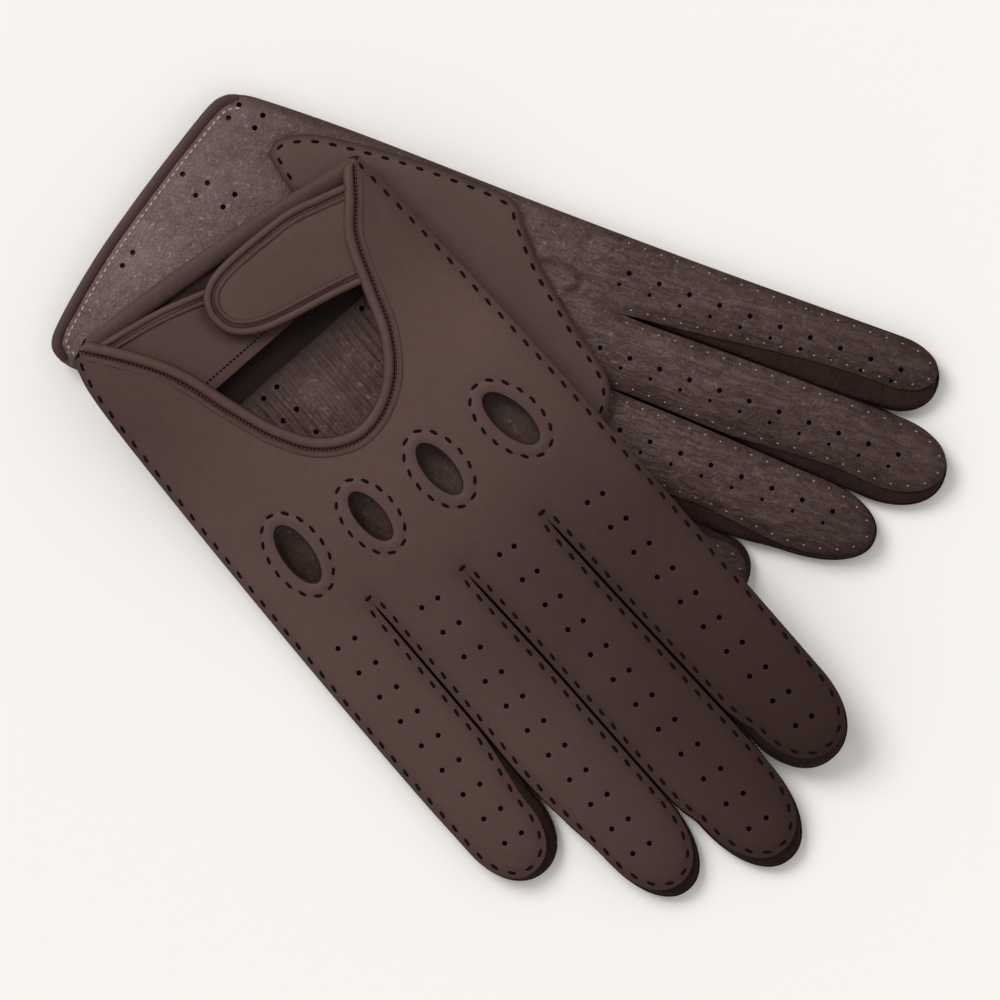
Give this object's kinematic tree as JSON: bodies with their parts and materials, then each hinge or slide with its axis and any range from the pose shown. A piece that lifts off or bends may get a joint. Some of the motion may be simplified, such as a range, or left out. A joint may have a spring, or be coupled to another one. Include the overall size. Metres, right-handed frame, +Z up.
{
  "type": "leather driving gloves",
  "caption": "Pair of leather driving gloves with an opening on the back of the hand, rolled edges, a closure tab, knuckle holes and perforated fingers, lying one across the other.",
  "frame": {"origin": "centre of the bottom of the pair's bounding box, on the surface that they lie on", "axes": "+Z up, out of the surface; +X and +Y lie in the surface, with +X the longest side of the pair"},
  "size_m": [0.2558, 0.2294, 0.0234],
  "materials": {
    "back_leather": "smooth fine-grained glove leather, dark chocolate, satin",
    "palm_leather": "pebbled glove leather, dark chocolate, satin with small glossy flecks",
    "binding_leather": "thin smooth leather rolled over an edge",
    "thread": "waxed sewing thread, near black brown",
    "elastic": "narrow flat woven elastic",
    "fastener": "hook and loop tape"
  },
  "bodies": {
    "left_hand": {"left_back_panel": "back_leather", "left_palm_panel": "palm_leather", "left_side_strips": "palm_leather", "left_fourchettes": "palm_leather", "left_quirks": "palm_leather", "left_finger_creases": "palm_leather", "left_knuckle_facings": "back_leather", "left_cutout_binding": "binding_leather", "left_wrist_hem": "binding_leather", "left_wrist_elastic": "elastic", "left_underlap": "back_leather", "left_underlap_binding": "binding_leather", "left_hook_patch": "fastener", "left_seam_thread": "thread"},
    "left_tab": {"left_tab": "back_leather", "left_tab_binding": "binding_leather", "left_loop_patch": "fastener"},
    "left_thumb": {"left_thumb_back": "back_leather", "left_thumb_palm": "palm_leather"},
    "left_ring_tip": {"left_ring_tip_back": "back_leather", "left_ring_tip_palm": "palm_leather", "left_ring_tip_fourchette": "palm_leather"},
    "left_middle_tip": {"left_middle_tip_back": "back_leather", "left_middle_tip_palm": "palm_leather", "left_middle_tip_fourchette": "palm_leather"},
    "left_index_tip": {"left_index_tip_back": "back_leather", "left_index_tip_palm": "palm_leather", "left_index_tip_fourchette": "palm_leather"},
    "right_hand": {"right_back_panel": "back_leather", "right_palm_panel": "palm_leather", "right_side_strips": "palm_leather", "right_fourchettes": "palm_leather", "right_quirks": "palm_leather", "right_finger_creases": "palm_leather", "right_knuckle_facings": "back_leather", "right_cutout_binding": "binding_leather", "right_wrist_hem": "binding_leather", "right_wrist_elastic": "elastic", "right_underlap": "back_leather", "right_underlap_binding": "binding_leather", "right_hook_patch": "fastener", "right_seam_thread": "thread"},
    "right_tab": {"right_tab": "back_leather", "right_tab_binding": "binding_leather", "right_loop_patch": "fastener"},
    "right_thumb": {"right_thumb_back": "back_leather", "right_thumb_palm": "palm_leather"},
    "right_little_tip": {"right_little_tip_back": "back_leather", "right_little_tip_palm": "palm_leather", "right_little_tip_fourchette": "palm_leather"},
    "right_ring_tip": {"right_ring_tip_back": "back_leather", "right_ring_tip_palm": "palm_leather", "right_ring_tip_fourchette": "palm_leather"},
    "right_middle_tip": {"right_middle_tip_back": "back_leather", "right_middle_tip_palm": "palm_leather", "right_middle_tip_fourchette": "palm_leather"},
    "right_index_tip": {"right_index_tip_back": "back_leather", "right_index_tip_palm": "palm_leather", "right_index_tip_fourchette": "palm_leather"}
  },
  "joints": [
    {"name": "right_glove_lift", "type": "slide", "parent": "left_hand", "child": "right_hand", "axis": [0, 0, 1], "range_m": [0, 0.12]},
    {"name": "left_ring_bend", "type": "hinge", "parent": "left_hand", "child": "left_ring_tip", "pos_m": [0.06823, 0.00109, 0.004], "axis": [-0.3338, -0.9426, 0], "range_deg": [0, 90], "deforming": ["left_finger_creases"]},
    {"name": "left_middle_bend", "type": "hinge", "parent": "left_hand", "child": "left_middle_tip", "pos_m": [0.08214, 0.02241, 0.004], "axis": [-0.3338, -0.9426, 0], "range_deg": [0, 90], "deforming": ["left_finger_creases"]},
    {"name": "left_index_bend", "type": "hinge", "parent": "left_hand", "child": "left_index_tip", "pos_m": [0.08134, 0.04709, 0.004], "axis": [-0.3338, -0.9426, 0], "range_deg": [0, 90], "deforming": ["left_finger_creases"]},
    {"name": "left_tab_open", "type": "hinge", "parent": "left_hand", "child": "left_tab", "pos_m": [-0.07322, 0.08995, 0.0011], "axis": [0.663, -0.7486, 0], "range_deg": [0, 100]},
    {"name": "left_thumb_swing", "type": "hinge", "parent": "left_hand", "child": "left_thumb", "pos_m": [-0.05439, 0.09521, 0.0097], "axis": [0, 0, 1], "range_deg": [0, 35]},
    {"name": "right_little_bend", "type": "hinge", "parent": "right_hand", "child": "right_little_tip", "pos_m": [-0.01636, -0.07491, 0.004], "axis": [0.7547, 0.6561, 0], "range_deg": [0, 90], "deforming": ["right_finger_creases"]},
    {"name": "right_ring_bend", "type": "hinge", "parent": "right_hand", "child": "right_ring_tip", "pos_m": [0.02079, -0.07707, 0.004], "axis": [0.7547, 0.6561, 0], "range_deg": [0, 90], "deforming": ["right_finger_creases"]},
    {"name": "right_middle_bend", "type": "hinge", "parent": "right_hand", "child": "right_middle_tip", "pos_m": [0.05011, -0.06748, 0.00651], "axis": [0.7547, 0.6561, 0], "range_deg": [0, 90], "deforming": ["right_finger_creases"]},
    {"name": "right_index_bend", "type": "hinge", "parent": "right_hand", "child": "right_index_tip", "pos_m": [0.06459, -0.04031, 0.01528], "axis": [0.7547, 0.6561, 0], "range_deg": [0, 90], "deforming": ["right_finger_creases"]},
    {"name": "right_tab_open", "type": "hinge", "parent": "right_hand", "child": "right_tab", "pos_m": [-0.04849, 0.07074, 0.0215], "axis": [-0.2085, 0.978, 0], "range_deg": [0, 100]},
    {"name": "right_thumb_swing", "type": "hinge", "parent": "right_hand", "child": "right_thumb", "pos_m": [-0.02989, 0.0604, 0.0129], "axis": [0, 0, 1], "range_deg": [0, 30]}
  ]
}
